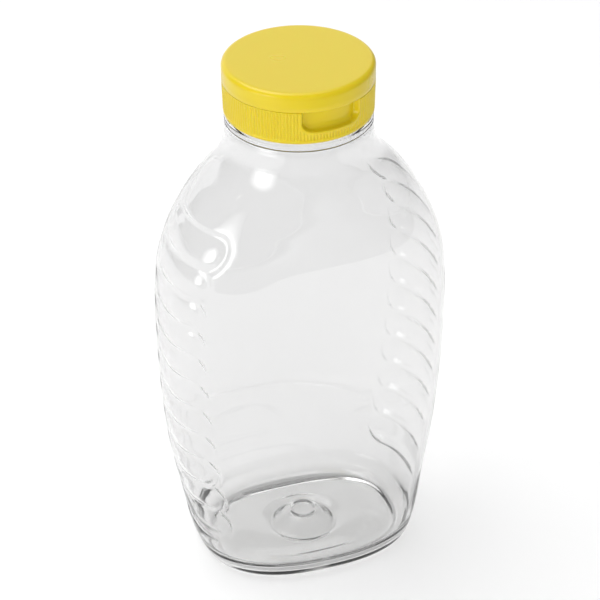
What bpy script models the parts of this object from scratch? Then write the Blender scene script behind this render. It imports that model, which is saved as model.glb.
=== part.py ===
"""Clear squeeze bottle for honey, empty, with a yellow flip-top closure."""

import math

import bmesh
import bpy
import numpy as np

# Lengths are in metres and angles in degrees. +X is across the bottle's width, the front faces -Y, +Z is up.
MM = 0.001

# Bottle body: half width and half depth of the cross-section by height, and how square the section is.
HALF_WIDTH = (
    (0.0, 29.0), (0.4, 29.7), (3.0, 31.7), (8.0, 33.4), (20.0, 35.7), (40.0, 39.2), (60.0, 40.6), (80.0, 40.9),
    (95.0, 40.0), (105.0, 37.4), (115.0, 32.8), (122.0, 28.0), (128.0, 22.3), (133.0, 20.3), (138.4, 19.9),
)
HALF_DEPTH = (
    (0.0, 21.7), (0.4, 22.6), (3.0, 25.3), (8.0, 26.0), (20.0, 24.9), (40.0, 24.0), (60.0, 24.7), (80.0, 25.7),
    (95.0, 26.0), (105.0, 25.7), (115.0, 24.0), (122.0, 22.4), (128.0, 21.2), (133.0, 20.3), (138.4, 19.9),
)
SQUARENESS = (
    (0.0, 2.5), (8.0, 2.35), (20.0, 2.35), (40.0, 2.4), (80.0, 2.55), (100.0, 2.5), (115.0, 2.3), (128.0, 2.0),
)
SHOULDER_TOP = 138.4 * MM
WALL = 1.5 * MM

# Neck, standing ring and base.
NECK_BEAD_TOP = 139.8 * MM
NECK_BEAD_RADIUS = 19.87 * MM
NECK_BEAD_EDGE = 0.3 * MM
NECK_RADIUS = 17.4 * MM
NECK_BORE = 15.6 * MM
NECK_TOP = 147.4 * MM
BASE_PANEL_HALF_WIDTH = 27.8 * MM
BASE_PANEL_HALF_DEPTH = 18.5 * MM
BASE_PANEL_SQUARENESS = 2.9
BOSS_HEIGHT = 4.9 * MM
BASE_RING_RADIUS = 9.4 * MM

# Rows of the underside and the floor: distance inside the base panel's edge, and height in millimetres. The middle
# rows go by shares of the ring's radius instead, down into the ring's groove and up the boss inside it.
UNDERSIDE_ROWS = ((0.4, 0.4), (2.4, 0.9), (5.0, 1.2))
UNDERSIDE_MIDDLE_ROWS = ((1.16, 1.4), (1.0, 0.5), (0.86, 1.4), (0.6, 3.4), (0.34, 4.7))
FLOOR_MIDDLE_ROWS = ((0.4, 4.7), (0.7, 3.2), (1.05, 1.5))
FLOOR_ROWS = ((5.6, 1.3), (2.0, 0.7))
FLOOR_EDGE_HEIGHT = 2.1 * MM
FLOOR_EDGE_INSET = 2.25 * MM

# Grip lobes: finger ridges round both narrow sides. Their round tips lie beside the front panel on the left and
# beside the back panel on the right, and their other ends run out a little past the side's middle.
LOBE_COUNT = 11
LOBE_TOP = 109.6 * MM
LOBE_PITCH = 9.1 * MM
LOBE_REACH = 19.0 * MM
TOP_LOBE_REACH = 20.6 * MM
GROOVE_DEPTH = 0.9 * MM
GROOVE_FADE = 1.8 * MM
RUN_OUT_START = 1.5 * MM
RUN_OUT_END = 5.5 * MM
LOBE_BREADTH = 2.4
LOBE_ROUNDNESS = 0.7

# Closure. It is turned a little on the neck, as it was screwed down.
CLOSURE_TURN = 8.0
CLOSURE_RADIUS = 20.4 * MM
CLOSURE_BOTTOM = 140.7 * MM
SEAM = 150.25 * MM
SEAM_GAP = 0.3 * MM
CLOSURE_TOP = 155.5 * MM
SKIRT_BORE = 17.75 * MM
DECK_THICKNESS = 1.5 * MM
RIM_BORE = 18.9 * MM
DECK_DROP = 0.9 * MM
LID_WALL = 1.4 * MM
LID_ROOF = 1.3 * MM
LID_EDGE = 1.4 * MM
SKIRT_FOOT_RADIUS = 20.2 * MM
SKIRT_FOOT_ROUND = 0.7 * MM
SKIRT_LEAD_IN = 1.05 * MM
TURNED_STEPS = 48

# Pouring spout in the deck, and the lid's plug that shuts it.
SPOUT_RADIUS = 4.6 * MM
SPOUT_BORE = 3.2 * MM
SPOUT_HEIGHT = 3.4 * MM
PLUG_RADIUS = 2.6 * MM
SPOUT_FOOT = 0.8 * MM
SPOUT_LIP = 0.3 * MM
PLUG_ENTRY = 1.2 * MM
PLUG_CHAMFER = 0.5 * MM

# Thumb recess under the lid's front edge.
RECESS_HALF_ANGLE = 24.0
RECESS_DEPTH = 2.0 * MM
RECESS_FLOOR = 144.3 * MM
RECESS_STRAIGHT = 3.5 * MM
RECESS_BOTTOM_SHARE = 0.55
RECESS_OVERCUT = 1.0 * MM
RECESS_ROWS = 7
RECESS_COLUMNS = 10

# Hinge lugs behind the closure, on each side of the bending film.
HINGE_RADIUS = 20.9 * MM
LUG_HALF_WIDTH = 5.0 * MM
LUG_HEIGHT = 1.2 * MM
LUG_REACH = 20.75 * MM
LUG_ROOT = 19.4 * MM

# Levels worked out from these.
RIM = SEAM - SEAM_GAP / 2
LID_BOTTOM = SEAM + SEAM_GAP / 2
DECK = RIM - DECK_DROP
UNDER_DECK = DECK - DECK_THICKNESS
SPOUT_TOP = DECK + SPOUT_HEIGHT

# Grid of the bottle's skin: how far each column lies from the middle of the narrow side, then even columns.
QUARTER_STEPS = 400
SHARP_ANGLE = 40.0
SIDE_COLUMNS = tuple(MM * arc for arc in (0.0, 5.5, 10.8, 14.5, 16.6, 18.1, 19.2, 20.8, 23.0))
PANEL_COLUMNS = 5
GRIP_SECTION_LENGTH = 52.0 * MM
LOBE_ROWS = (-0.5, -0.4, -0.2, 0.2, 0.4)
SHOULDER_DROPS = (0.0, 2.0, 4.4, 7.0, 9.8, 13.0, 16.2, 19.6)
HEEL_HEIGHTS = (12.4, 9.5, 6.4, 4.2, 2.6, 1.4, 0.6)
INSIDE_HEIGHTS = (4.6, 8.0, 14.0, 28.0, 46.0, 64.0, 82.0, 96.0, 105.0, 113.0, 120.0, 126.0, 132.0, 138.0)


def material(name, colour, roughness, transmission=0.0):
    made = bpy.data.materials.new(name)
    made.use_nodes = True
    shader = made.node_tree.nodes["Principled BSDF"]
    shader.inputs["Base Color"].default_value = (*colour, 1.0)
    shader.inputs["Metallic"].default_value = 0.0
    shader.inputs["Roughness"].default_value = roughness
    shader.inputs["Transmission Weight"].default_value = transmission
    return made


def add_object(name, mesh, surface, parent):
    made = bpy.data.objects.new(name, mesh)
    bpy.context.scene.collection.objects.link(made)
    made.data.materials.append(surface)
    made.parent = parent
    mesh.shade_smooth()
    mesh.set_sharp_from_angle(angle=math.radians(SHARP_ANGLE))
    return made


def smooth_curve(knots, height):
    """Value at a height, in metres, on a smooth curve through (height, value) knots in millimetres."""
    z = np.array([knot[0] for knot in knots]) * MM
    value = np.array([knot[1] for knot in knots])
    step = np.diff(z)
    rise = np.diff(value) / step
    slope = np.zeros(len(z))
    slope[0], slope[-1] = rise[0], rise[-1]
    same_way = rise[:-1] * rise[1:] > 0
    slope[1:-1][same_way] = 2.0 / (1.0 / rise[:-1][same_way] + 1.0 / rise[1:][same_way])
    height = min(max(height, z[0]), z[-1])
    i = min(int(np.searchsorted(z, height, side="right")) - 1, len(z) - 2)
    t = (height - z[i]) / step[i]
    return (
        (1 + 2 * t) * (1 - t) ** 2 * value[i] + t * (1 - t) ** 2 * step[i] * slope[i]
        + t * t * (3 - 2 * t) * value[i + 1] - t * t * (1 - t) * step[i] * slope[i + 1]
    )


def section_at(height):
    """Half width, half depth and squareness of the body's section."""
    half_width = smooth_curve(HALF_WIDTH, height) * MM
    half_depth = smooth_curve(HALF_DEPTH, height) * MM
    return half_width, half_depth, smooth_curve(SQUARENESS, height)


def quarter(half_width, half_depth, squareness):
    """Points from the middle of the narrow side to the middle of the panel, with each column's arc length."""
    turn = np.linspace(0.0, math.pi / 2, QUARTER_STEPS)
    x = half_width * np.cos(turn) ** (2.0 / squareness)
    y = half_depth * np.sin(turn) ** (2.0 / squareness)
    arc = np.concatenate([[0.0], np.cumsum(np.hypot(np.diff(x), np.diff(y)))])
    scale = min(1.0, arc[-1] / GRIP_SECTION_LENGTH)
    side = np.array(SIDE_COLUMNS) * scale
    panel = np.linspace(side[-1], arc[-1], PANEL_COLUMNS + 1)[1:]
    columns = np.concatenate([side, panel])
    return np.interp(columns, arc, x), np.interp(columns, arc, y), columns


def groove_depth(arc, height):
    """How far the surface lies under the smooth body, at an arc length from the side's middle to the tips."""
    half_height = LOBE_PITCH / 2
    depth = 0.0
    nearest = math.inf
    for i in range(LOBE_COUNT):
        reach = TOP_LOBE_REACH if i == 0 else LOBE_REACH
        along = max(arc - (reach - half_height), 0.0)
        nearest = min(nearest, math.hypot(along, height - (LOBE_TOP - i * LOBE_PITCH)))
    if nearest < half_height:
        share = nearest / half_height
        depth = GROOVE_DEPTH * (1.0 - (1.0 - share**LOBE_BREADTH) ** LOBE_ROUNDNESS)
    elif nearest < half_height + GROOVE_FADE:
        fade = (nearest - half_height) / GROOVE_FADE
        depth = GROOVE_DEPTH * (1.0 - fade * fade * (3.0 - 2.0 * fade))
    run_out = min(max((-arc - RUN_OUT_START) / (RUN_OUT_END - RUN_OUT_START), 0.0), 1.0)
    return depth * (1.0 - run_out * run_out * (3.0 - 2.0 * run_out))


def ring(half_width, half_depth, squareness, height, grip=False):
    """One closed row of the bottle's skin, anticlockwise from +X. Half a turn brings it onto itself."""
    x, y, arc = quarter(half_width, half_depth, squareness)
    along_x, along_y = np.gradient(x), np.gradient(y)
    length = np.hypot(along_x, along_y)
    quarters = []
    for way in (1, -1):
        depth = np.array([groove_depth(way * a, height) if grip else 0.0 for a in arc])
        place_x = x - depth * along_y / length
        place_y = y + depth * along_x / length
        place_x[-1], place_y[0] = 0.0, 0.0
        quarters.append(list(zip(place_x, place_y)))
    with_tips, without_tips = quarters
    half = with_tips + [(-px, py) for px, py in reversed(without_tips[:-1])]
    whole = half[:-1] + [(-px, -py) for px, py in half[:-1]]
    return [(px, py, height) for px, py in whole]


def body_ring(height, inset=0.0, grip=False):
    half_width, half_depth, squareness = section_at(height)
    return ring(half_width - inset, half_depth - inset, squareness, height, grip)


def panel_ring(inset, height):
    """A row of the underside or the floor, at a distance inside the base panel's edge."""
    return ring(BASE_PANEL_HALF_WIDTH - inset, BASE_PANEL_HALF_DEPTH - inset, BASE_PANEL_SQUARENESS, height)


def outer_heights():
    """Rows of the outside, from the shoulder down to the heel, close together at each groove."""
    heights = [SHOULDER_TOP - MM * drop for drop in SHOULDER_DROPS]
    for i in range(LOBE_COUNT):
        middle = LOBE_TOP - i * LOBE_PITCH
        heights += [middle - LOBE_PITCH * share for share in LOBE_ROWS]
    heights += [MM * height for height in HEEL_HEIGHTS]
    return sorted(heights, reverse=True)


def circle_ring(radius, height):
    return ring(radius, radius, 2.0, height)


def outside_rows():
    rows = [circle_ring(NECK_RADIUS, NECK_TOP), circle_ring(NECK_RADIUS, NECK_BEAD_TOP)]
    rows.append(circle_ring(NECK_BEAD_RADIUS - NECK_BEAD_EDGE, NECK_BEAD_TOP))
    rows.append(circle_ring(NECK_BEAD_RADIUS, NECK_BEAD_TOP - NECK_BEAD_EDGE))
    rows += [body_ring(height, grip=True) for height in outer_heights()]
    rows += [body_ring(0.0), panel_ring(0.0, 0.0)]
    rows += [panel_ring(inset * MM, height * MM) for inset, height in UNDERSIDE_ROWS]
    rows += [circle_ring(BASE_RING_RADIUS * share, height * MM) for share, height in UNDERSIDE_MIDDLE_ROWS]
    return rows


def inside_rows():
    """Rows of the smooth inside, from the floor's middle up to the mouth."""
    rows = [circle_ring(BASE_RING_RADIUS * share, height * MM + WALL) for share, height in FLOOR_MIDDLE_ROWS]
    rows += [panel_ring(inset * MM, height * MM + WALL) for inset, height in FLOOR_ROWS]
    rows.append(body_ring(FLOOR_EDGE_HEIGHT, FLOOR_EDGE_INSET))
    rows += [body_ring(height * MM, WALL) for height in INSIDE_HEIGHTS]
    rows.append(circle_ring((NECK_BORE + NECK_RADIUS) / 2, NECK_BEAD_TOP))
    rows += [circle_ring(NECK_BORE, NECK_BEAD_TOP + WALL), circle_ring(NECK_BORE, NECK_TOP)]
    return rows


def bottle_mesh():
    """The whole skin as one closed loft: outside downwards, underside, floor, inside upwards, mouth."""
    shape = bmesh.new()
    outside = [[shape.verts.new(point) for point in row] for row in outside_rows()]
    inside = [[shape.verts.new(point) for point in row] for row in inside_rows()]
    under_middle = shape.verts.new((0.0, 0.0, BOSS_HEIGHT))
    floor_middle = shape.verts.new((0.0, 0.0, BOSS_HEIGHT + WALL))
    count = len(outside[0])
    pairs = list(zip(outside, outside[1:])) + list(zip(inside, inside[1:])) + [(inside[-1], outside[0])]
    for upper, lower in pairs:
        for i in range(count):
            j = (i + 1) % count
            shape.faces.new((upper[i], lower[i], lower[j], upper[j]))
    for row, middle in ((outside[-1], under_middle), (inside[0], floor_middle)):
        for i in range(count):
            shape.faces.new((row[i], middle, row[(i + 1) % count]))
    bmesh.ops.recalc_face_normals(shape, faces=shape.faces)
    mesh = bpy.data.meshes.new("bottle")
    shape.to_mesh(mesh)
    shape.free()
    return mesh


def turned_mesh(name, profile, ends_on_axis):
    """Turns a (radius, height) outline about the Z axis. An outline that ends on the axis is left open."""
    shape = bmesh.new()
    rows = []
    for radius, height in profile:
        if radius == 0.0:
            rows.append([shape.verts.new((0.0, 0.0, height))])
            continue
        turns = [2 * math.pi * i / TURNED_STEPS for i in range(TURNED_STEPS)]
        rows.append([shape.verts.new((radius * math.cos(a), radius * math.sin(a), height)) for a in turns])
    pairs = list(zip(rows, rows[1:])) + ([] if ends_on_axis else [(rows[-1], rows[0])])
    for first, second in pairs:
        for i in range(TURNED_STEPS):
            j = (i + 1) % TURNED_STEPS
            corners = [first[i % len(first)], second[i % len(second)]]
            if len(second) > 1:
                corners.append(second[j])
            if len(first) > 1:
                corners.append(first[j])
            shape.faces.new(corners)
    bmesh.ops.recalc_face_normals(shape, faces=shape.faces)
    mesh = bpy.data.meshes.new(name)
    shape.to_mesh(mesh)
    shape.free()
    return mesh


def grid_solid(name, near, far):
    """A closed solid between two grids of points, joined round their edges."""
    shape = bmesh.new()
    sides = [[[shape.verts.new(point) for point in row] for row in grid] for grid in (near, far)]
    rows, columns = len(near), len(near[0])
    for grid in sides:
        for r in range(rows - 1):
            for c in range(columns - 1):
                shape.faces.new((grid[r][c], grid[r][c + 1], grid[r + 1][c + 1], grid[r + 1][c]))
    border = [(0, c) for c in range(columns)] + [(r, columns - 1) for r in range(1, rows)]
    border += [(rows - 1, c) for c in reversed(range(columns - 1))]
    border += [(r, 0) for r in reversed(range(1, rows - 1))]
    for (r, c), (s, d) in zip(border, border[1:] + border[:1]):
        shape.faces.new((sides[0][r][c], sides[0][s][d], sides[1][s][d], sides[1][r][c]))
    bmesh.ops.recalc_face_normals(shape, faces=shape.faces)
    mesh = bpy.data.meshes.new(name)
    shape.to_mesh(mesh)
    shape.free()
    return mesh


def helper(name, mesh, parent):
    """A cutter or an addition that only a Boolean reads."""
    made = bpy.data.objects.new(name, mesh)
    bpy.context.scene.collection.objects.link(made)
    made.parent = parent
    made.hide_render = True
    made.display_type = "WIRE"
    return made


def boolean(target, tool, operation):
    cut = target.modifiers.new(tool.name, "BOOLEAN")
    cut.operation = operation
    cut.solver = "EXACT"
    cut.object = tool


def recess_mesh():
    """Thumb recess: straight sides, round lower corners and a floor that scoops out to the skirt's face."""
    straight_bottom = SEAM - RECESS_STRAIGHT
    outer = CLOSURE_RADIUS + RECESS_OVERCUT
    back = CLOSURE_RADIUS - RECESS_DEPTH
    scoop_height = straight_bottom - RECESS_FLOOR
    drops = [i / RECESS_ROWS for i in range(RECESS_ROWS + 1)]
    levels = [(SEAM + RECESS_OVERCUT, 0.0)] + [(straight_bottom - scoop_height * drop, drop) for drop in drops]
    near, far = [], []
    for height, drop in levels:
        half_angle = math.radians(RECESS_HALF_ANGLE) * (
            RECESS_BOTTOM_SHARE + (1.0 - RECESS_BOTTOM_SHARE) * math.sqrt(1.0 - drop * drop)
        )
        scoop = back + RECESS_DEPTH * (1.0 - math.sqrt(1.0 - drop**4))
        near_row, far_row = [], []
        for c in range(RECESS_COLUMNS + 1):
            angle = half_angle * (2.0 * c / RECESS_COLUMNS - 1.0)
            near_row.append((scoop * math.sin(angle), -scoop * math.cos(angle), height))
            far_row.append((outer * math.sin(angle), -outer * math.cos(angle), height))
        near.append(near_row)
        far.append(far_row)
    return grid_solid("thumb_recess", near, far)


def lug_mesh(name, low, high):
    """Block behind the closure, in the closure's own directions."""
    y_near, y_far = LUG_ROOT, LUG_REACH
    near = [[(x, y_near, z) for x in (-LUG_HALF_WIDTH, LUG_HALF_WIDTH)] for z in (low, high)]
    far = [[(x, y_far, z) for x in (-LUG_HALF_WIDTH, LUG_HALF_WIDTH)] for z in (low, high)]
    return grid_solid(name, near, far)


def cap_base_profile():
    """Closed outline: under the deck, down the bore, round the foot, up the skirt, over the deck and spout."""
    outline = [(SPOUT_BORE, UNDER_DECK), (SKIRT_BORE, UNDER_DECK), (SKIRT_BORE, CLOSURE_BOTTOM + SKIRT_LEAD_IN)]
    outline.append((SKIRT_BORE + SKIRT_LEAD_IN, CLOSURE_BOTTOM))
    for turn in (-90, -45, 0):
        out = SKIRT_FOOT_RADIUS - SKIRT_FOOT_ROUND * (1.0 - math.cos(math.radians(turn)))
        outline.append((out, CLOSURE_BOTTOM + SKIRT_FOOT_ROUND * (1.0 + math.sin(math.radians(turn)))))
    outline += [(CLOSURE_RADIUS, RIM), (RIM_BORE, RIM), (RIM_BORE, DECK), (SPOUT_RADIUS + SPOUT_FOOT, DECK)]
    outline += [(SPOUT_RADIUS, DECK + SPOUT_FOOT), (SPOUT_RADIUS - SPOUT_LIP, SPOUT_TOP - SPOUT_LIP)]
    return outline + [(SPOUT_RADIUS - 2 * SPOUT_LIP, SPOUT_TOP), (SPOUT_BORE, SPOUT_TOP)]


def cap_lid_profile():
    """Outline from the plug's end, under the roof, down the bore and up the outside to the top's middle."""
    roof = CLOSURE_TOP - LID_ROOF
    bore = CLOSURE_RADIUS - LID_WALL
    plug_end = SPOUT_TOP - PLUG_ENTRY
    outline = [(0.0, plug_end), (PLUG_RADIUS - PLUG_CHAMFER, plug_end), (PLUG_RADIUS, plug_end + PLUG_CHAMFER)]
    outline += [(PLUG_RADIUS, roof), (bore, roof), (bore, LID_BOTTOM), (CLOSURE_RADIUS, LID_BOTTOM)]
    for turn in (0, 30, 60, 90):
        out = CLOSURE_RADIUS - LID_EDGE * (1.0 - math.cos(math.radians(turn)))
        outline.append((out, CLOSURE_TOP - LID_EDGE * (1.0 - math.sin(math.radians(turn)))))
    return outline + [(0.0, CLOSURE_TOP)]


def build_bottle():
    clear = material("clear_pet", (0.93, 0.95, 0.94), 0.04, transmission=1.0)
    root = bpy.data.objects.new("bottle_frame", None)
    bpy.context.scene.collection.objects.link(root)
    add_object("bottle", bottle_mesh(), clear, root)


def build_closure():
    yellow = material("yellow_plastic", (0.80, 0.68, 0.10), 0.38)
    turned = bpy.data.objects.new("closure_turn", None)
    bpy.context.scene.collection.objects.link(turned)
    turned.rotation_euler[2] = math.radians(CLOSURE_TURN)

    base = add_object("cap_base", turned_mesh("cap_base", cap_base_profile(), False), yellow, turned)
    boolean(base, helper("thumb_recess", recess_mesh(), turned), "DIFFERENCE")
    boolean(base, helper("base_lug", lug_mesh("base_lug", RIM - LUG_HEIGHT, RIM), turned), "UNION")

    # The lid's own origin is on the hinge axis, so its meshes are moved back by the axis's place.
    axis_place = (0.0, HINGE_RADIUS, SEAM)
    lid_mesh = turned_mesh("cap_lid", cap_lid_profile(), True)
    lug = lug_mesh("lid_lug", LID_BOTTOM, LID_BOTTOM + LUG_HEIGHT)
    for mesh in (lid_mesh, lug):
        for vertex in mesh.vertices:
            vertex.co = [value - offset for value, offset in zip(vertex.co, axis_place)]
    lid = add_object("cap_lid", lid_mesh, yellow, turned)
    lid.location = axis_place
    lid_lug = helper("lid_lug", lug, turned)
    lid_lug.location = axis_place
    boolean(lid, lid_lug, "UNION")


def main():
    for old in list(bpy.data.objects):
        bpy.data.objects.remove(old)
    build_bottle()
    build_closure()


main()
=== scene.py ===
"""Looks of the clear squeeze bottle for honey, empty, with its yellow flip-top closure.

The bottle's skin is lofted from rows round its axis: superellipses with the grip lobes pressed into their
narrow sides. The closure's two parts are outlines turned about the same axis. The main sizes repeat those of
the solids, but the wall is as thin as a blown one, the closure's seam is finer, and its ribs are added.
"""

import math

import bmesh
import bpy
import numpy as np
from mathutils import Matrix, Vector


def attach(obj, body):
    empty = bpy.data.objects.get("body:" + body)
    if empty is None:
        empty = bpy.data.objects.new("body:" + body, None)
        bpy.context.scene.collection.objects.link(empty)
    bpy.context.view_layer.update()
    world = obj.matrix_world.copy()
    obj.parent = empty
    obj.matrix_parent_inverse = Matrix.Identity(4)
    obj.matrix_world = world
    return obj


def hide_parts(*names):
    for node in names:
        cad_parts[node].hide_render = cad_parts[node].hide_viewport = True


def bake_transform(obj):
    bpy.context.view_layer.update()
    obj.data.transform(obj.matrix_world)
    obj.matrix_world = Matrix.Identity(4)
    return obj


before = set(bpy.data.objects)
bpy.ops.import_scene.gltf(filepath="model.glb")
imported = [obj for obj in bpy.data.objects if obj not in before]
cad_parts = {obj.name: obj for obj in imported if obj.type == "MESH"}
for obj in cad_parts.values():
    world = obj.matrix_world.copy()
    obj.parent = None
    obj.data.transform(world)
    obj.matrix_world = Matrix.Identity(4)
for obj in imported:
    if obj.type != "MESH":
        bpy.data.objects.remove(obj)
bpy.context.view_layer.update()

# Lengths are in metres and angles in degrees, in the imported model's frame: +X across, front at -Y, +Z up.
MM = 0.001

# Camera, at the photograph's viewing angle.
CAMERA_AZIMUTH = -18.51
CAMERA_ELEVATION = 33.42
CAMERA_ROLL = -0.54
CAMERA_DISTANCE = 0.650
CAMERA_LENS = 139.35
CAMERA_NEAR = 0.01
SENSOR_WIDTH = 36.0
AIM_ACROSS = -0.00016
AIM_HEIGHT = 0.07966

# Studio: the room's brightness, and a white board under the bottle. A dark sheet lies over the board's front,
# and only mirror reflections see it. Its ranges are in X and Y.
ROOM_RADIANCE = 0.28
BOARD_RANGE = (-8.0, 8.0)
BOARD_SHADE = 0.98
DARK_SHEET_ACROSS = (-3.0, 4.0)
DARK_SHEET_ALONG = (-4.0, -0.265)
DARK_SHEET_LIFT = 0.5 * MM
DARK_SHEET_SHADE = 0.01

# Softboxes: azimuth and elevation as seen from the bottle, distance, width and height, radiance, and whether
# clear and shiny surfaces show them too.
SOFTBOXES = {
    "overhead": (190.0, 76.0, 1.3, (1.3, 1.3), 1.4, True),
    "key": (-115.0, 62.0, 1.3, (0.9, 0.9), 2.6, True),
    "backdrop": (180.0, 18.0, 1.6, (2.4, 1.3), 0.85, True),
    "front_fill": (-8.0, 18.0, 1.3, (0.8, 0.8), 3.6, False),
}

# Round window on the left, for the highlight on the shoulder: azimuth, elevation, distance, radii, radiance.
WINDOW = (-67.0, 5.0, 1.1, (0.44, 0.52), 3.8)
WINDOW_CORNERS = 32
WINDOW_BRIGHT_SHARE = 0.6

# Bottle body: half width and half depth of its section by height, in millimetres, and how square it is.
HALF_WIDTH = (
    (0.0, 29.0), (0.4, 29.7), (3.0, 31.7), (8.0, 33.4), (20.0, 35.7), (40.0, 39.2), (60.0, 40.6),
    (80.0, 40.9), (95.0, 40.0), (105.0, 37.4), (115.0, 32.8), (122.0, 28.0), (128.0, 22.3), (133.0, 20.3),
    (138.4, 19.9),
)
HALF_DEPTH = (
    (0.0, 21.7), (0.4, 22.6), (3.0, 25.3), (8.0, 26.0), (20.0, 24.9), (40.0, 24.0), (60.0, 24.7),
    (80.0, 25.7), (95.0, 26.0), (105.0, 25.7), (115.0, 24.0), (122.0, 22.4), (128.0, 21.2), (133.0, 20.3),
    (138.4, 19.9),
)
SQUARENESS = (
    (0.0, 2.5), (8.0, 2.35), (20.0, 2.35), (40.0, 2.4), (80.0, 2.55), (100.0, 2.5), (115.0, 2.3),
    (128.0, 2.0),
)
SHOULDER_TOP = 138.4 * MM

# Blown wall: its thickness, the thicker heel, what it gains towards the neck, and where it changes.
BLOWN_WALL = 0.65 * MM
HEEL_WALL = 0.9 * MM
HEEL_WALL_START = 22.0 * MM
NECK_WALL_GAIN = 0.35 * MM
NECK_WALL_START = 122.0 * MM
NECK_WALL_END = 137.0 * MM

# Neck, with a half-round bead under the closure. The inside is (radius, height) in millimetres.
NECK_BEAD_TOP = 139.8 * MM
NECK_BEAD_RADIUS = 20.0 * MM
NECK_BEAD_ROUND = 0.75 * MM
NECK_BEAD_FILLET = 0.4 * MM
NECK_RADIUS = 17.4 * MM
NECK_BORE = 15.6 * MM
NECK_TOP = 147.4 * MM
NECK_EASE = 0.3 * MM
NECK_MIDDLE = 143.0 * MM
NECK_INSIDE = ((15.6, 144.0), (15.6, 142.4), (15.9, 141.2), (16.6, 140.0), (17.7, 138.9), (18.5, 138.1))

# Underside: a low panel (half width, half depth and squareness at its edge) with a ring groove round a boss.
BASE_PANEL = (27.8 * MM, 18.5 * MM, 2.9)
PANEL_RISE = 1.4 * MM
PANEL_FLATNESS = 2.6
BASE_RING_RADIUS = 9.4 * MM
BASE_RING_DEPTH = 1.0 * MM
BASE_RING_BREADTH = 1.25 * MM
RING_ZONE_SHARE = 1.13
BOSS_HEIGHT = 4.9 * MM
BOSS_TOP_RADIUS = 3.5 * MM
BOSS_FOOT_RADIUS = 8.7 * MM
DIMPLE_DEPTH = 0.6 * MM
DIMPLE_EDGE_RADIUS = 3.6 * MM
DIMPLE_FLOOR_RADIUS = 2.5 * MM

# Inside of the heel and floor: the even wall stops at two heights, and below it the inside curves past a
# corner to a landing. The insets are from the foot's outline and from the base panel's edge.
INSIDE_TOP = 137.4 * MM
HEEL_JOIN = 6.0 * MM
CORNER_INSET = 1.2 * MM
CORNER_HEIGHT = 1.0 * MM
LANDING_INSET = 2.6 * MM
LANDING_HEIGHT = 1.55 * MM
FLOOR_INSET = 4.9 * MM
FLOOR_THICKNESS = 1.15 * MM

# Grip lobes on both narrow sides. Each valley between them is averaged over (offset in millimetres, share).
LOBE_COUNT = 11
LOBE_TOP = 109.6 * MM
LOBE_PITCH = 9.1 * MM
LOBE_REACH = 19.0 * MM
TOP_LOBE_REACH = 20.6 * MM
LOBE_FULLNESS = 3.2
GROOVE_DEPTH = 0.9 * MM
GROOVE_FADE = 1.8 * MM
RUN_OUT_START = 1.5 * MM
RUN_OUT_END = 5.5 * MM
VALLEY_ROUND = ((-0.6, 0.12), (-0.3, 0.22), (0.0, 0.32), (0.3, 0.22), (0.6, 0.12))
FAR_AWAY = 1.0

# Fineness of the bottle's skin: columns in a quarter turn, and rows from the shoulder down and inwards.
ARC_SAMPLES = 4000
GRIP_SECTION_LENGTH = 52.0 * MM
GRIP_ARC = 23.0 * MM
GRIP_COLUMNS = 34
PANEL_COLUMNS = 20
GRIP_TOP = 116.0 * MM
GRIP_BOTTOM = 12.0 * MM
GRIP_ROW = 0.7 * MM
SHOULDER_ROWS = 23
HEEL_TOP = 11.5 * MM
HEEL_ROWS = 18
HEEL_CROWDING = 1.7
BEAD_STEP = 15
PANEL_ROWS = 20
PANEL_CROWDING = 1.3
MIDDLE_ROWS = 44
AXIS_GAP = 0.4 * MM
HEEL_CURVE_ROWS = 11

# Closure. Its two parts have the same radius at the seam.
CLOSURE_TURN = 8.0
CLOSURE_RADIUS = 20.4 * MM
CLOSURE_BOTTOM = 140.7 * MM
SEAM = 150.25 * MM
SEAM_GAP = 0.06 * MM
CLOSURE_TOP = 155.5 * MM
DECK_DROP = 0.9 * MM
DECK_THICKNESS = 1.5 * MM
SPOUT_HEIGHT = 3.4 * MM
SPOUT_BORE = 3.2 * MM
PLUG_ENTRY = 1.2 * MM
LID_ROOF = 1.3 * MM

# Levels of the closure, worked out from these.
RIM = SEAM - SEAM_GAP / 2
LID_BOTTOM = SEAM + SEAM_GAP / 2
DECK = RIM - DECK_DROP
UNDER_DECK = DECK - DECK_THICKNESS
SPOUT_TOP = DECK + SPOUT_HEIGHT
PLUG_END = SPOUT_TOP - PLUG_ENTRY
ROOF = CLOSURE_TOP - LID_ROOF

# Outside of the closure's base: taper, rounded foot, which starts at a turn in radians, and rows from there
# to the rim. The ribs lie between two heights.
SKIRT_FOOT_RADIUS = 20.15 * MM
SKIRT_TAPER = 0.25 * MM
SKIRT_FOOT_ROUND = 0.9 * MM
SKIRT_FOOT_TURN = 0.25
SKIRT_FOOT_ROWS = 6
SKIRT_LOW_START = 1.0 * MM
SKIRT_LOW_ROWS = 12
SKIRT_HIGH_START = 0.05 * MM
SKIRT_HIGH_END = 0.45 * MM
SKIRT_HIGH_ROWS = 40
RIB_COUNT = 146
RIB_STEPS = 6
RIB_DEPTH = 0.27 * MM
RIB_SHARPNESS = 1.6
RIB_LOW = 142.2 * MM
RIB_LOW_FADE = 0.35 * MM
RIB_HIGH = 149.75 * MM
RIB_HIGH_FADE = 0.3 * MM

# Thumb recess under the lid's front edge, with a plain border that keeps the ribs off it.
RECESS_HALF_ANGLE = 24.0
RECESS_DEPTH = 2.0 * MM
RECESS_FLOOR = 144.3 * MM
RECESS_STRAIGHT = 3.5 * MM
RECESS_BOTTOM_SHARE = 0.55
RECESS_SCOOP = 4
RECESS_SOFT = 0.2 * MM
RECESS_BORDER = 0.8 * MM
BORDER_ROWS = 6
BORDER_FADE_START = 0.25 * MM
BORDER_FADE_END = 0.1 * MM

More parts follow.
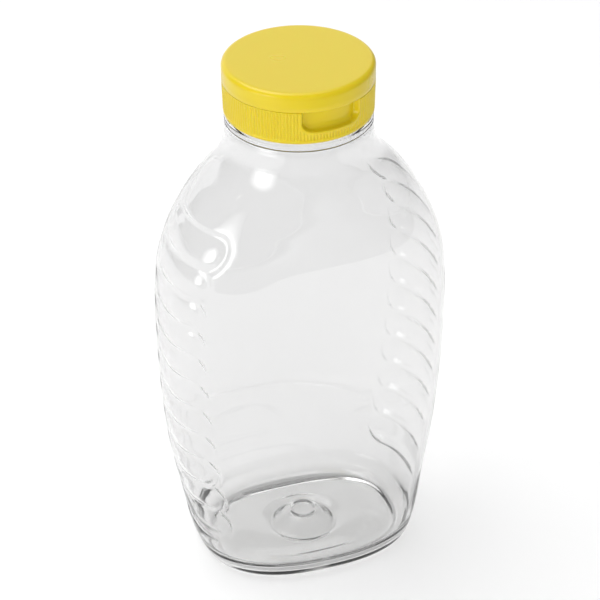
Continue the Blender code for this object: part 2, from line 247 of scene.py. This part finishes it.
# Outlines of the closure's base, as (radius, height) in millimetres: the deck's underside measured from it,
# the skirt's inside from the ground, the spout from the deck, and its lip from the spout's top. The edges of
# the rim and the deck are (outwards, upwards) from the rim's outside and inside.
UNDER_DECK_OUTLINE = ((3.2, 0.0), (3.4, 0.0), (17.45, 0.0), (17.75, -0.3))
SKIRT_INSIDE = ((17.75, 145.0), (17.75, 141.9), (18.85, 140.8), (19.2, 140.7))
RIM_OUTER_EDGE = ((0.0, -0.16), (-0.06, -0.05), (-0.2, 0.0))
RIM_INNER_EDGE = ((0.0, 0.0), (-0.05, -0.1))
DECK_EDGE = ((-0.05, 0.25), (-0.3, 0.0))
SPOUT_OUTLINE = ((5.8, 0.0), (5.2, 0.12), (4.8, 0.5), (4.6, 1.2))
SPOUT_LIP = ((4.4, -0.5), (4.3, -0.15), (4.1, 0.0), (3.6, 0.0), (3.35, -0.1), (3.2, -0.3))
RIM_SAMPLE_DROP = 0.2 * MM
RIM_BREADTH = 0.5 * MM
RIM_BORE = 18.9 * MM
ORIFICE_EASE = 0.1 * MM

# Outlines of the lid: the plug measured from its end, the roof's underside from it, the foot from the seam.
LID_STEPS = 240
PLUG_OUTLINE = ((0.2, 0.0), (2.0, 0.0), (2.35, 0.1), (2.6, 0.5))
ROOF_OUTLINE = ((2.6, -0.3), (2.9, 0.0), (8.0, 0.0), (18.6, 0.0), (18.9, -0.1), (19.0, -0.4))
LID_FOOT = ((19.0, 0.2), (19.1, 0.05), (19.25, 0.0), (20.2, 0.0), (20.34, 0.05), (20.4, 0.16), (20.4, 1.5))
LID_SIDE_TOP = 153.2 * MM
LID_EDGE = 1.5 * MM
LID_EDGE_ROWS = 12
LID_TOP_RADII = (18.2, 17.0, 12.0, 6.0, 1.0)

# Hinge behind the closure: a lug on each part, and the film that bends between them.
LUG_HALF_WIDTH = 5.0 * MM
LUG_HEIGHT = 1.2 * MM
LUG_REACH = 20.75 * MM
LUG_ROOT = 19.4 * MM
LUG_ROUND = 0.18 * MM
FILM_HALF_WIDTH = 4.5 * MM
FILM_HALF_HEIGHT = 0.8 * MM
FILM_PLACE = 20.72 * MM
FILM_THIN = 0.22 * MM
FILM_THICK = 0.36 * MM
FILM_ROWS = 21
FILM_COLUMNS = 13

# Colours. The clear plastic is greyer below the first of two heights and clearest above the second. The
# heel's extra grey is painted shade, for the shadowed floor under the base seen through it.
HEEL_PAINTED_SHADE_END = 3.0 * MM
WALL_TINT_START = 9.0 * MM
HEEL_TINT_WITH_PAINTED_SHADE = (0.885, 0.885, 0.88, 1.0)
WALL_TINT = (0.895, 0.895, 0.895, 1.0)
HEEL_SHADOW = (0.80, 0.80, 0.80, 1.0)
WALL_SHADOW = (0.88, 0.88, 0.88, 1.0)
YELLOW_DEEP = (0.67, 0.517, 0.007, 1.0)
YELLOW_LIGHT = (0.68, 0.525, 0.008, 1.0)

# Unevenness of the plastics: the blown wall's waves, the closure's moulded grain, and the faint clouds that
# vary its colour and roughness. A scale is in waves to the metre.
NOISE_DETAIL = 2.0
WAVE_SCALE = 38.0
WAVE_STRENGTH = 0.18
WAVE_DEPTH = 0.6 * MM
GRAIN_SCALE = 2600.0
GRAIN_STRENGTH = 0.03
GRAIN_DEPTH = 0.02 * MM
CLOUD_SCALE = 60.0
CLOUD_RANGE = (0.3, 0.7)
YELLOW_ROUGHNESS = (0.27, 0.30)


def smooth_curve(knots, heights):
    """Values at heights, in metres, on a smooth curve through (height, value) knots in millimetres."""
    z = np.array([knot[0] for knot in knots]) * MM
    value = np.array([knot[1] for knot in knots])
    step = np.diff(z)
    rise = np.diff(value) / step
    slope = np.zeros(len(z))
    slope[0], slope[-1] = rise[0], rise[-1]
    same_way = rise[:-1] * rise[1:] > 0
    slope[1:-1][same_way] = 2.0 / (1.0 / rise[:-1][same_way] + 1.0 / rise[1:][same_way])
    heights = np.clip(heights, z[0], z[-1])
    i = np.clip(np.searchsorted(z, heights, side="right") - 1, 0, len(z) - 2)
    t = (heights - z[i]) / step[i]
    return (
        (1 + 2 * t) * (1 - t) ** 2 * value[i] + t * (1 - t) ** 2 * step[i] * slope[i]
        + t * t * (3 - 2 * t) * value[i + 1] - t * t * (1 - t) * step[i] * slope[i + 1]
    )


def smooth_step(low, high, value):
    t = np.clip((value - low) / (high - low), 0.0, 1.0)
    return t * t * (3.0 - 2.0 * t)


def section_at(height):
    half_width = smooth_curve(HALF_WIDTH, height) * MM
    half_depth = smooth_curve(HALF_DEPTH, height) * MM
    return half_width, half_depth, smooth_curve(SQUARENESS, height)


def quarter(half_width, half_depth, squareness):
    """Points from the middle of the narrow side to the middle of the panel, with each one's arc length."""
    turn = np.linspace(0.0, math.pi / 2, ARC_SAMPLES)
    x = half_width * np.cos(turn) ** (2.0 / squareness)
    y = half_depth * np.sin(turn) ** (2.0 / squareness)
    x[-1] = 0.0
    arc = np.concatenate([[0.0], np.cumsum(np.hypot(np.diff(x), np.diff(y)))])
    scale = min(1.0, arc[-1] / GRIP_SECTION_LENGTH)
    side = np.linspace(0.0, GRIP_ARC, GRIP_COLUMNS + 1) * scale
    columns = np.concatenate([side, np.linspace(side[-1], arc[-1], PANEL_COLUMNS + 1)[1:]])
    return np.interp(columns, arc, x), np.interp(columns, arc, y), columns


def groove_depth(arc, height):
    """How far the lobes' surface lies under the smooth body, at arc lengths from the side's middle."""
    half_height = LOBE_PITCH / 2
    nearest = np.full(len(arc), FAR_AWAY)
    for i in range(LOBE_COUNT):
        reach = TOP_LOBE_REACH if i == 0 else LOBE_REACH
        along = np.maximum(arc - (reach - half_height), 0.0)
        nearest = np.minimum(nearest, np.hypot(along, height - (LOBE_TOP - i * LOBE_PITCH)))
    share = np.minimum(nearest / half_height, 1.0)
    fade = smooth_step(half_height, half_height + GROOVE_FADE, nearest)
    depth = GROOVE_DEPTH * np.where(fade > 0, 1.0 - fade, share**LOBE_FULLNESS)
    return depth * smooth_step(-RUN_OUT_END, -RUN_OUT_START, arc)


def soft_groove_depth(arc, height):
    """The grooves' depth with their sharp valleys rounded off, as blown plastic has them."""
    return sum(share * groove_depth(arc, height + offset * MM) for offset, share in VALLEY_ROUND)


def ring(half_width, half_depth, squareness, height, grip=False):
    """One closed row, anticlockwise from +X. The lobes' tips are at the back right and at the front left."""
    x, y, arc = quarter(half_width, half_depth, squareness)
    along_x, along_y = np.gradient(x), np.gradient(y)
    length = np.hypot(along_x, along_y)
    quarters = []
    for way in (1, -1):
        depth = soft_groove_depth(way * arc, height) if grip else 0.0
        place = np.stack([x - depth * along_y / length, y + depth * along_x / length], axis=1)
        place[-1, 0], place[0, 1] = 0.0, 0.0
        quarters.append(place)
    half = np.concatenate([quarters[0], quarters[1][-2::-1] * (-1, 1)])
    whole = np.concatenate([half[:-1], -half[:-1]])
    return np.column_stack([whole, np.full(len(whole), height)])


def circle_ring(radius, height):
    return ring(radius, radius, 2.0, height)


def body_heights():
    """Rows from the shoulder down to the foot: even in the grip, and closer together towards the foot."""
    shoulder = np.linspace(SHOULDER_TOP, GRIP_TOP, SHOULDER_ROWS + 1)[:-1]
    grip = np.arange(GRIP_TOP, GRIP_BOTTOM, -GRIP_ROW)
    heel = HEEL_TOP * np.linspace(1.0, 0.0, HEEL_ROWS + 1) ** HEEL_CROWDING
    return np.concatenate([shoulder, grip, heel])


def neck_rows():
    """Outside of the neck, from its top down over the bead."""
    rows = [
        circle_ring(NECK_RADIUS - NECK_EASE, NECK_TOP), circle_ring(NECK_RADIUS, NECK_TOP - NECK_EASE),
        circle_ring(NECK_RADIUS, NECK_MIDDLE), circle_ring(NECK_RADIUS, NECK_BEAD_TOP + NECK_BEAD_FILLET),
        circle_ring(NECK_RADIUS + NECK_BEAD_FILLET, NECK_BEAD_TOP),
    ]
    middle = NECK_BEAD_TOP - NECK_BEAD_ROUND
    for turn in range(90, -91, -BEAD_STEP):
        out = NECK_BEAD_RADIUS - NECK_BEAD_ROUND * (1 - math.cos(math.radians(turn)))
        rows.append(circle_ring(out, middle + NECK_BEAD_ROUND * math.sin(math.radians(turn))))
    return rows


def underside_sections():
    """Half width, half depth, squareness and height, from the panel's edge to the middle of the boss."""
    half_width, half_depth, squareness = BASE_PANEL
    end = BASE_RING_RADIUS * RING_ZONE_SHARE
    sections = []
    for i in range(PANEL_ROWS):
        u = (i / PANEL_ROWS) ** PANEL_CROWDING
        a = half_width + (end - half_width) * u
        b = half_depth + (end - half_depth) * u
        height = PANEL_RISE * (1.0 - (1.0 - u) ** PANEL_FLATNESS)
        sections.append((a, b, squareness + (2.0 - squareness) * u, height))
    for radius in np.linspace(end, AXIS_GAP, MIDDLE_ROWS):
        groove = BASE_RING_DEPTH * math.exp(-(((radius - BASE_RING_RADIUS) / BASE_RING_BREADTH) ** 2))
        boss = (BOSS_HEIGHT - PANEL_RISE) * smooth_step(BOSS_FOOT_RADIUS, BOSS_TOP_RADIUS, radius)
        dimple = DIMPLE_DEPTH * smooth_step(DIMPLE_EDGE_RADIUS, DIMPLE_FLOOR_RADIUS, radius)
        sections.append((radius, radius, 2.0, PANEL_RISE - groove + boss - dimple))
    return sections


def normals_of(grid):
    """Outward unit normals of a grid of rows round the bottle, rows from top to bottom."""
    down = np.gradient(grid, axis=0)
    padded = np.concatenate([grid[:, -1:], grid, grid[:, :1]], axis=1)
    around = (padded[:, 2:] - padded[:, :-2]) / 2
    normal = np.cross(down, around)
    return normal / np.maximum(np.linalg.norm(normal, axis=2, keepdims=True), 1e-12)


def inner_rows(outer, heights):
    """The neck's bore and flare, then the inside wall at an even distance from the outside."""
    wall = BLOWN_WALL + (HEEL_WALL - BLOWN_WALL) * smooth_step(HEEL_WALL_START, HEEL_JOIN, heights)
    wall = wall + NECK_WALL_GAIN * smooth_step(NECK_WALL_START, NECK_WALL_END, heights)
    inside = outer - normals_of(outer) * wall[:, None, None]
    keep = (heights >= HEEL_JOIN) & (heights <= INSIDE_TOP)
    rows = [circle_ring(NECK_BORE + NECK_EASE, NECK_TOP), circle_ring(NECK_BORE, NECK_TOP - NECK_EASE)]
    rows += [circle_ring(radius * MM, height * MM) for radius, height in NECK_INSIDE]
    return rows + list(inside[keep])


def floor_rows(start):
    """The inside of the heel and the floor, from the last row of the inside wall inwards."""
    half_width, half_depth, squareness = section_at(0.0)
    corner = ring(half_width - CORNER_INSET, half_depth - CORNER_INSET, squareness, CORNER_HEIGHT)
    half_width, half_depth, squareness = BASE_PANEL
    landing = ring(half_width - LANDING_INSET, half_depth - LANDING_INSET, squareness, LANDING_HEIGHT)
    rows = []
    for t in np.linspace(0.0, 1.0, HEEL_CURVE_ROWS + 1)[1:]:
        rows.append((1 - t) ** 2 * start + 2 * t * (1 - t) * corner + t * t * landing)
    for a, b, square, height in underside_sections():
        if a < half_width - FLOOR_INSET:
            rows.append(ring(a, b, square, height + FLOOR_THICKNESS))
    return rows


def new_mesh(name, points, faces):
    mesh = bpy.data.meshes.new(name)
    mesh.from_pydata(points, [], faces)
    mesh.update()
    return mesh


def faces_between(rows, next_rows, count):
    """Four-sided faces between rows of points and the rows next to them, given by the rows' numbers."""
    a, b = rows[:, None] * count, next_rows[:, None] * count
    c = np.arange(count)[None, :]
    d = (c + 1) % count
    return np.stack([a + c, a + d, b + d, b + c], axis=2).reshape(-1, 4).tolist()


def loft(name, rows, closed_ends):
    """A closed mesh from rows round an axis. closed_ends are the points that close the first and last row."""
    count = len(rows[0])
    points = np.concatenate(list(rows) + [np.array(closed_ends)])
    numbers = np.arange(len(rows) - 1)
    faces = faces_between(numbers, numbers + 1, count)
    first, last = len(points) - 2, len(points) - 1
    low = (len(rows) - 1) * count
    for i in range(count):
        j = (i + 1) % count
        faces.append((first, j, i))
        faces.append((last, low + i, low + j))
    return new_mesh(name, points.tolist(), faces)


def closed_turn(name, rows):
    """A ring-shaped closed mesh, whose last row joins its first."""
    numbers = np.arange(len(rows))
    faces = faces_between(numbers, (numbers + 1) % len(rows), len(rows[0]))
    return new_mesh(name, np.concatenate(rows).tolist(), faces)


def turned_rows(outline, angles):
    """Rows of points from a list of (radius, height), turned about the axis. An angle of 0 is the front."""
    rows = []
    for radius, height in outline:
        across, along = radius * np.sin(angles), -radius * np.cos(angles)
        rows.append(np.stack([across, along, np.full(len(angles), height)], axis=1))
    return rows


def from_place(radius, height, steps):
    """Outline points from steps (outwards, upwards) in millimetres from one place."""
    return [(radius + out * MM, height + up * MM) for out, up in steps]


def turn_on_neck(mesh):
    mesh.transform(Matrix.Rotation(math.radians(CLOSURE_TURN), 4, "Z"))


def piece(name, mesh, surface, body):
    """The object for a mesh. A piece given no body is left unattached here."""
    made = bpy.data.objects.new(name, mesh)
    bpy.context.scene.collection.objects.link(made)
    mesh.materials.append(surface)
    mesh.shade_smooth()
    if body:
        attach(made, body)
    return made


def new_material(name):
    made = bpy.data.materials.new(name)
    made.use_nodes = True
    nodes, links = made.node_tree.nodes, made.node_tree.links
    return made, nodes, links, nodes["Principled BSDF"], nodes["Material Output"]


def noise(nodes, links, scale, coordinates):
    made = nodes.new("ShaderNodeTexNoise")
    made.inputs["Scale"].default_value = scale
    made.inputs["Detail"].default_value = NOISE_DETAIL
    links.new(coordinates.outputs["Object"], made.inputs["Vector"])
    return made.outputs["Fac"]


def bump(nodes, links, height, strength, distance, shader):
    made = nodes.new("ShaderNodeBump")
    made.inputs["Strength"].default_value = strength
    made.inputs["Distance"].default_value = distance
    links.new(height, made.inputs["Height"])
    links.new(made.outputs["Normal"], shader.inputs["Normal"])


def map_range(nodes, links, value, low, high, to_low, to_high):
    made = nodes.new("ShaderNodeMapRange")
    for socket, number in (("From Min", low), ("From Max", high), ("To Min", to_low), ("To Max", to_high)):
        made.inputs[socket].default_value = number
    links.new(value, made.inputs["Value"])
    return made.outputs["Result"]


def mix_colours(nodes, links, factor, first, second, socket):
    """Feeds a socket with a colour between two."""
    mix = nodes.new("ShaderNodeMix")
    mix.data_type = "RGBA"
    mix.inputs["A"].default_value = first
    mix.inputs["B"].default_value = second
    links.new(factor, mix.inputs["Factor"])
    links.new(mix.outputs["Result"], socket)


def clear_plastic():
    """Blown PET: clear and glossy, with a blown wall's faint waviness, and greyer at the heel, which is
    painted shade for the shadow under the base.
    """
    made, nodes, links, shader, output = new_material("clear_pet")
    where = nodes.new("ShaderNodeTexCoord")
    apart = nodes.new("ShaderNodeSeparateXYZ")
    links.new(where.outputs["Object"], apart.inputs["Vector"])
    # The heel's greyer base colour is painted shade: the shadowed floor under the base, seen through the
    # plastic.
    wall = map_range(nodes, links, apart.outputs["Z"], HEEL_PAINTED_SHADE_END, WALL_TINT_START, 0.0, 1.0)
    mix_colours(nodes, links, wall, HEEL_TINT_WITH_PAINTED_SHADE, WALL_TINT, shader.inputs["Base Color"])
    shader.inputs["Roughness"].default_value = 0.02
    shader.inputs["IOR"].default_value = 1.57
    shader.inputs["Specular IOR Level"].default_value = 0.95
    shader.inputs["Transmission Weight"].default_value = 1.0
    bump(nodes, links, noise(nodes, links, WAVE_SCALE, where), WAVE_STRENGTH, WAVE_DEPTH, shader)
    clear = nodes.new("ShaderNodeBsdfTransparent")
    mix_colours(nodes, links, wall, HEEL_SHADOW, WALL_SHADOW, clear.inputs["Color"])
    path = nodes.new("ShaderNodeLightPath")
    mix = nodes.new("ShaderNodeMixShader")
    links.new(path.outputs["Is Shadow Ray"], mix.inputs["Fac"])
    links.new(shader.outputs["BSDF"], mix.inputs[1])
    links.new(clear.outputs["BSDF"], mix.inputs[2])
    links.new(mix.outputs["Shader"], output.inputs["Surface"])
    return made


def yellow_plastic():
    """Moulded polypropylene: satin, slightly translucent, with a fine spark-eroded grain."""
    made, nodes, links, shader, _ = new_material("yellow_polypropylene")
    where = nodes.new("ShaderNodeTexCoord")
    cloud = noise(nodes, links, CLOUD_SCALE, where)
    grain = noise(nodes, links, GRAIN_SCALE, where)
    mix_colours(nodes, links, cloud, YELLOW_DEEP, YELLOW_LIGHT, shader.inputs["Base Color"])
    links.new(map_range(nodes, links, cloud, *CLOUD_RANGE, *YELLOW_ROUGHNESS), shader.inputs["Roughness"])
    shader.inputs["Subsurface Weight"].default_value = 0.12
    shader.inputs["Subsurface Scale"].default_value = 0.002
    bump(nodes, links, grain, GRAIN_STRENGTH, GRAIN_DEPTH, shader)
    return made


def bottle_skin(surface):
    """The whole skin as one closed loft: underside, outside upwards, neck, inside downwards, floor."""
    heights = body_heights()
    outer = np.array([ring(*section_at(height), height, grip=True) for height in heights])
    outside = neck_rows() + list(outer) + [ring(*section) for section in underside_sections()]
    inside = inner_rows(outer, heights)
    inside += floor_rows(inside[-1])
    ends = [(0, 0, outside[-1][0][2]), (0, 0, inside[-1][0][2])]
    mesh = loft("bottle_skin", outside[::-1] + inside, ends)
    made = piece("bottle_skin", mesh, surface, "bottle")
    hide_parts("bottle")


def inside_recess(angles, height):
    """How far inside the recess's sides points lie at one height, and how far down its round part that is."""
    straight = SEAM - RECESS_STRAIGHT
    if height < RECESS_FLOOR:
        return np.full(len(angles), -FAR_AWAY), 1.0
    drop = min(max(straight - height, 0.0) / (straight - RECESS_FLOOR), 1.0)
    share = RECESS_BOTTOM_SHARE + (1 - RECESS_BOTTOM_SHARE) * math.sqrt(1 - drop * drop)
    turned = (angles + math.pi) % (2 * math.pi) - math.pi
    return (math.radians(RECESS_HALF_ANGLE) * share - np.abs(turned)) * CLOSURE_RADIUS, drop


def rib_strength(angles, height):
    """How deep the ribs are at one height: they fade at both ends and beside the thumb recess."""
    low = smooth_step(RIB_LOW - RIB_LOW_FADE, RIB_LOW, height)
    high = smooth_step(RIB_HIGH + RIB_HIGH_FADE, RIB_HIGH, height)
    border = np.full(len(angles), -FAR_AWAY)
    for rise in np.linspace(0.0, RECESS_BORDER, BORDER_ROWS):
        border = np.maximum(border, inside_recess(angles, height + rise)[0])
    beside = smooth_step(-RECESS_BORDER + BORDER_FADE_START, -RECESS_BORDER - BORDER_FADE_END, border)
    return low * high * beside


def skirt_radius(angles, height):
    """Outside of the closure's base at one height: a slight taper, fine ribs, and the thumb recess."""
    smooth = SKIRT_FOOT_RADIUS + SKIRT_TAPER * (height - CLOSURE_BOTTOM) / (RIM - CLOSURE_BOTTOM)
    if height < CLOSURE_BOTTOM + SKIRT_FOOT_ROUND:
        drop = 1.0 - (height - CLOSURE_BOTTOM) / SKIRT_FOOT_ROUND
        smooth -= SKIRT_FOOT_ROUND * (1.0 - math.sqrt(1.0 - drop * drop))
    valley = (0.5 + 0.5 * np.cos(RIB_COUNT * angles)) ** RIB_SHARPNESS
    radius = smooth - RIB_DEPTH * rib_strength(angles, height) * valley
    if height < RECESS_FLOOR:
        return radius
    edge, drop = inside_recess(angles, height)
    inside = smooth_step(-RECESS_SOFT, RECESS_SOFT, edge)
    scoop = CLOSURE_RADIUS - RECESS_DEPTH * math.sqrt(1.0 - drop**RECESS_SCOOP)
    return radius + inside * (np.minimum(scoop, radius) - radius)


def skirt_heights():
    """Rows of the closure base's outside: its rounded foot, the ribs' low part, and beside the recess."""
    turns = np.linspace(SKIRT_FOOT_TURN, math.pi / 2, SKIRT_FOOT_ROWS)
    return np.concatenate([
        CLOSURE_BOTTOM + SKIRT_FOOT_ROUND * (1 - np.cos(turns)),
        np.linspace(CLOSURE_BOTTOM + SKIRT_LOW_START, RECESS_FLOOR, SKIRT_LOW_ROWS),
        np.linspace(RECESS_FLOOR + SKIRT_HIGH_START, RIM - SKIRT_HIGH_END, SKIRT_HIGH_ROWS),
    ])


def closure_base(surface):
    """The ribbed part on the neck: deck's underside, skirt inside and outside, rim, deck and spout."""
    angles = np.linspace(0, 2 * math.pi, RIB_COUNT * RIB_STEPS + 1)[:-1]
    outline = from_place(0.0, UNDER_DECK, UNDER_DECK_OUTLINE) + from_place(0.0, 0.0, SKIRT_INSIDE)
    outline += [(skirt_radius(angles, height), height) for height in skirt_heights()]
    rim_outside = skirt_radius(angles, RIM - RIM_SAMPLE_DROP)
    rim_inside = np.minimum(rim_outside - RIM_BREADTH, RIM_BORE)
    outline += from_place(rim_outside, RIM, RIM_OUTER_EDGE)
    outline += from_place(rim_inside, RIM, RIM_INNER_EDGE) + from_place(rim_inside, DECK, DECK_EDGE)
    outline += from_place(0.0, DECK, SPOUT_OUTLINE) + from_place(0.0, SPOUT_TOP, SPOUT_LIP)
    outline += [(SPOUT_BORE, DECK), (SPOUT_BORE, UNDER_DECK + ORIFICE_EASE)]
    mesh = closed_turn("closure_base", turned_rows(outline, angles))
    add_lug(mesh, RIM - LUG_HEIGHT, RIM)
    turn_on_neck(mesh)
    made = piece("closure_base", mesh, surface, "bottle")
    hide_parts("cap_base")


def closure_lid(surface):
    """The flip-up part: plug, roof's underside, foot, outside with its rounded edge, and flat top."""
    angles = np.linspace(0, 2 * math.pi, LID_STEPS + 1)[:-1]
    outline = from_place(0.0, PLUG_END, PLUG_OUTLINE) + from_place(0.0, ROOF, ROOF_OUTLINE)
    outline += from_place(0.0, LID_BOTTOM, LID_FOOT) + [(CLOSURE_RADIUS, LID_SIDE_TOP)]
    for turn in np.linspace(0, math.pi / 2, LID_EDGE_ROWS):
        radius = CLOSURE_RADIUS - LID_EDGE * (1 - math.cos(turn))
        outline.append((radius, CLOSURE_TOP - LID_EDGE * (1 - math.sin(turn))))
    outline += [(radius * MM, CLOSURE_TOP) for radius in LID_TOP_RADII]
    mesh = loft("closure_lid", turned_rows(outline, angles), [(0, 0, PLUG_END), (0, 0, CLOSURE_TOP)])
    add_lug(mesh, LID_BOTTOM, LID_BOTTOM + LUG_HEIGHT)
    turn_on_neck(mesh)
    made = piece("closure_lid", mesh, surface, "lid")
    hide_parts("cap_lid")


def add_lug(mesh, low, high):
    """Adds the block that carries one side of the hinge film behind the closure."""
    shape = bmesh.new()
    shape.from_mesh(mesh)
    made = bmesh.ops.create_cube(shape, size=1.0)["verts"]
    for vertex in made:
        vertex.co.x *= 2 * LUG_HALF_WIDTH
        vertex.co.y = (LUG_ROOT + LUG_REACH) / 2 + vertex.co.y * (LUG_REACH - LUG_ROOT)
        vertex.co.z = (low + high) / 2 + vertex.co.z * (high - low)
    edges = {edge for vertex in made for edge in vertex.link_edges}
    bmesh.ops.bevel(shape, geom=list(edges), offset=LUG_ROUND, segments=3, affect="EDGES", profile=0.5)
    shape.to_mesh(mesh)
    shape.free()


def film_points(side):
    """One face of the hinge film as rows of points. The film is thinnest on the hinge axis."""
    points = []
    for up in np.linspace(-1.0, 1.0, FILM_ROWS):
        thickness = FILM_THIN + (FILM_THICK - FILM_THIN) * up * up
        along = FILM_PLACE + side * thickness / 2
        for across in np.linspace(-1.0, 1.0, FILM_COLUMNS):
            points.append((across * FILM_HALF_WIDTH, along, SEAM + up * FILM_HALF_HEIGHT))
    return points


def film_faces():
    """Faces of the film's two sides, and of the strip round its border."""
    rows, columns = FILM_ROWS, FILM_COLUMNS
    total = rows * columns
    faces = []
    for r in range(rows - 1):
        for c in range(columns - 1):
            a, b = r * columns + c, (r + 1) * columns + c
            faces.append((a, b, b + 1, a + 1))
            faces.append((total + a, total + a + 1, total + b + 1, total + b))
    border = list(range(columns)) + [r * columns + columns - 1 for r in range(1, rows)]
    border += [(rows - 1) * columns + c for c in reversed(range(columns - 1))]
    border += [r * columns for r in reversed(range(1, rows - 1))]
    faces += [(a, b, total + b, total + a) for a, b in zip(border, border[1:] + border[:1])]
    return faces


def hinge_film(surface):
    """The strip that bends between the closure's two parts, given no body."""
    mesh = new_mesh("hinge_film", film_points(1) + film_points(-1), film_faces())
    turn_on_neck(mesh)
    made = piece("hinge_film", mesh, surface, None)
    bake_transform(made)


def way_to(azimuth, elevation):
    """Direction from the bottle. Azimuth 0 is the front, and 90 is the right."""
    turn, lift = math.radians(azimuth), math.radians(elevation)
    return Vector((math.sin(turn) * math.cos(lift), -math.cos(turn) * math.cos(lift), math.sin(lift)))


def camera():
    back = way_to(CAMERA_AZIMUTH, CAMERA_ELEVATION)
    right = way_to(CAMERA_AZIMUTH + 90.0, 0.0)
    up = back.cross(right)
    place = right * AIM_ACROSS + Vector((0, 0, AIM_HEIGHT)) + back * CAMERA_DISTANCE
    roll = math.radians(CAMERA_ROLL)
    right, up = right * math.cos(roll) + up * math.sin(roll), up * math.cos(roll) - right * math.sin(roll)
    data = bpy.data.cameras.new("camera")
    data.lens = CAMERA_LENS
    data.sensor_width = SENSOR_WIDTH
    data.clip_start = CAMERA_NEAR
    made = bpy.data.objects.new("camera", data)
    turn = Matrix((right, up, back)).transposed().to_4x4()
    made.matrix_world = Matrix.Translation(place) @ turn
    bpy.context.scene.collection.objects.link(made)
    bpy.context.scene.camera = made


def stage_sheet(name, across, along, height, shade):
    """A flat matt sheet over a range in X and a range in Y."""
    corners = [(across[i], along[j], height) for i, j in ((0, 0), (1, 0), (1, 1), (0, 1))]
    mesh = new_mesh(name, corners, [(0, 1, 2, 3)])
    sheet = bpy.data.objects.new(name, mesh)
    bpy.context.scene.collection.objects.link(sheet)
    surface, _, _, shader, _ = new_material(name)
    shader.inputs["Base Color"].default_value = (shade, shade, shade, 1)
    shader.inputs["Roughness"].default_value = 0.9
    shader.inputs["Specular IOR Level"].default_value = 0.0
    mesh.materials.append(surface)
    return sheet


def soft_light(name, azimuth, elevation, distance, size, radiance, mirrored):
    """A softbox in a direction from the bottle. One that isn't mirrored lights matt surfaces alone."""
    way = way_to(azimuth, elevation)
    data = bpy.data.lights.new(name, "AREA")
    data.shape = "RECTANGLE"
    data.size, data.size_y = size
    data.energy = radiance * math.pi * size[0] * size[1]
    made = bpy.data.objects.new(name, data)
    made.location = Vector((0, 0, AIM_HEIGHT)) + way * distance
    made.rotation_euler = (-way).to_track_quat("-Z", "Y").to_euler()
    made.visible_camera = False
    made.visible_glossy = mirrored
    made.visible_transmission = mirrored
    bpy.context.scene.collection.objects.link(made)


def glow_card(name, azimuth, elevation, distance, radii, radiance):
    """A round card that shines brightest in its middle and fades to nothing at its edge."""
    way = way_to(azimuth, elevation)
    turns = np.linspace(0, 2 * math.pi, WINDOW_CORNERS + 1)[:-1]
    corners = [(math.cos(turn), math.sin(turn), 0) for turn in turns]
    mesh = new_mesh(name, corners, [tuple(range(WINDOW_CORNERS))])
    card = bpy.data.objects.new(name, mesh)
    bpy.context.scene.collection.objects.link(card)
    card.scale = (radii[0], radii[1], 1.0)
    card.location = Vector((0, 0, AIM_HEIGHT)) + way * distance
    card.rotation_euler = way.to_track_quat("Z", "Y").to_euler()
    made, nodes, links, shader, output = new_material(name)
    where = nodes.new("ShaderNodeTexCoord")
    fall = nodes.new("ShaderNodeTexGradient")
    fall.gradient_type = "SPHERICAL"
    links.new(where.outputs["Object"], fall.inputs["Vector"])
    shine = nodes.new("ShaderNodeEmission")
    strength = map_range(nodes, links, fall.outputs["Fac"], 0.0, WINDOW_BRIGHT_SHARE, 0.0, radiance)
    links.new(strength, shine.inputs["Strength"])
    links.new(shine.outputs["Emission"], output.inputs["Surface"])
    nodes.remove(shader)
    mesh.materials.append(made)
    card.visible_camera = False
    card.visible_shadow = False


def studio():
    """White board in a dim room, a dark sheet that only mirror rays see, the softboxes, and the window."""
    scene = bpy.context.scene
    scene.view_settings.view_transform = "Standard"
    world = bpy.data.worlds.new("studio")
    world.use_nodes = True
    world.node_tree.nodes["Background"].inputs["Color"].default_value = (1, 1, 1, 1)
    world.node_tree.nodes["Background"].inputs["Strength"].default_value = ROOM_RADIANCE
    scene.world = world
    stage_sheet("white_board", BOARD_RANGE, BOARD_RANGE, 0.0, BOARD_SHADE)
    dark = stage_sheet("dark_front", DARK_SHEET_ACROSS, DARK_SHEET_ALONG, DARK_SHEET_LIFT, DARK_SHEET_SHADE)
    dark.visible_camera = False
    dark.visible_diffuse = False
    dark.visible_transmission = False
    dark.visible_volume_scatter = False
    dark.visible_shadow = False
    for name, values in SOFTBOXES.items():
        soft_light(name, *values)
    glow_card("window", *WINDOW)


clear = clear_plastic()
yellow = yellow_plastic()
bottle_skin(clear)
closure_base(yellow)
closure_lid(yellow)
hinge_film(yellow)
camera()
studio()
